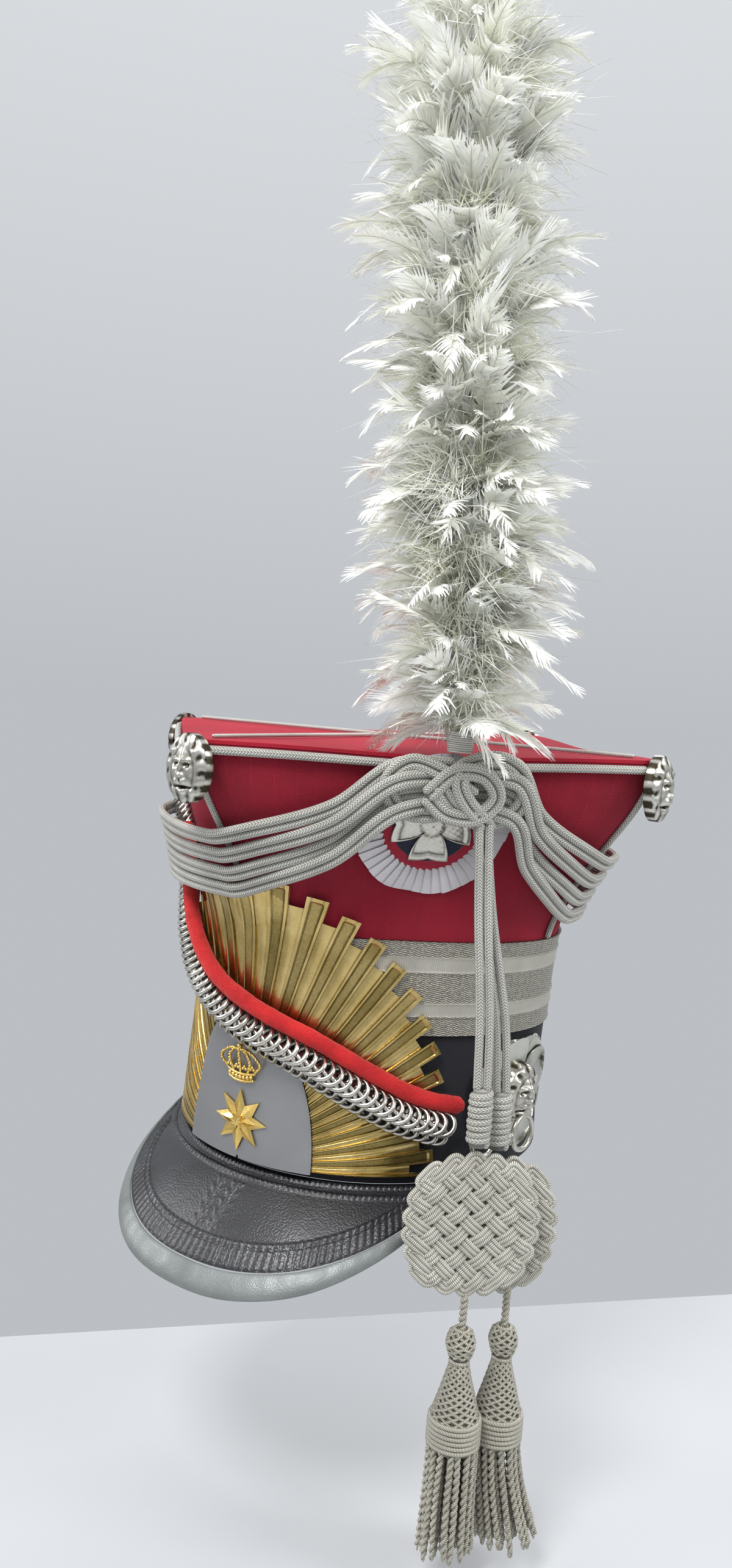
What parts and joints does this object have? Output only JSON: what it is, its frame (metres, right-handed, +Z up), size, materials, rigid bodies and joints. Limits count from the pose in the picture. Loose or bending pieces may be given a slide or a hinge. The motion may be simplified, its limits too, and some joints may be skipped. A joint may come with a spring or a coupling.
{
  "type": "lancer cap (czapka-style shako) with plume and cap lines",
  "caption": "Square-topped military dress cap with plume, sunburst plate, peak, chin chain, cockade and corded cap lines that hang in flounders and tassels.",
  "frame": {"origin": "centre of the head opening, in the plane of the rim, where the cap sits on a head", "axes": "+Z up, -Y the front over the peak, +X the wearer's left, where the plume and cockade are"},
  "size_m": [0.3448, 0.3448, 0.7684],
  "materials": {
    "black_cloth": "napped wool cloth",
    "crimson_cloth": "felted wool cloth",
    "silver_lace": "woven metal-thread lace",
    "silver_cord": "braided metal-thread cord",
    "silver_metal": "antiqued silver plate",
    "brass": "stamped and burnished",
    "black_leather": "embossed and polished",
    "silver_leather": "metallic leather binding",
    "red_felt": "felt",
    "white_ribbon": "pleated ribbed ribbon",
    "feather": "soft undyed feather"
  },
  "bodies": {
    "root": {"skull": "black_cloth", "crown": "crimson_cloth", "crown_top": "crimson_cloth", "lace_band": "silver_lace", "edge_cord_front": "silver_cord", "edge_cord_left": "silver_cord", "edge_cord_back": "silver_cord", "edge_cord_right": "silver_cord", "seam_cord_front": "silver_cord", "seam_cord_left": "silver_cord", "seam_cord_back": "silver_cord", "seam_cord_right": "silver_cord", "top_cord_long": "silver_cord", "top_cord_left": "silver_cord", "top_cord_right": "silver_cord", "line_knot": "silver_cord", "cap_line_1": "silver_cord", "cap_line_2": "silver_cord", "cap_line_3": "silver_cord", "cap_line_4": "silver_cord", "drop_cord_1": "silver_cord", "drop_cord_2": "silver_cord", "drop_cord_3": "silver_cord", "drop_cord_4": "silver_cord", "slide_1": "silver_cord", "slide_2": "silver_cord", "flounder_1": "silver_cord", "flounder_2": "silver_cord", "tassel_1": "silver_cord", "tassel_2": "silver_cord", "corner_boss_front": "silver_metal", "corner_boss_left": "silver_metal", "corner_boss_back": "silver_metal", "corner_boss_right": "silver_metal", "centre_plate": "silver_metal", "chin_chain": "silver_metal", "rosette_left": "silver_metal", "rosette_right": "silver_metal", "mouth_ring_left": "silver_metal", "mouth_ring_right": "silver_metal", "chain_hook": "silver_metal", "chain_end_ring": "silver_metal", "chain_corner_hook": "silver_metal", "cockade_cross": "silver_metal", "front_plate": "brass", "crown_badge": "brass", "star_badge": "brass", "visor": "black_leather", "chin_strap": "black_leather", "visor_binding": "silver_leather", "felt_roll": "red_felt", "cockade_disc": "red_felt", "cockade_ribbon": "white_ribbon", "plume": "feather", "plume_socket": "feather"}
  },
  "joints": []
}
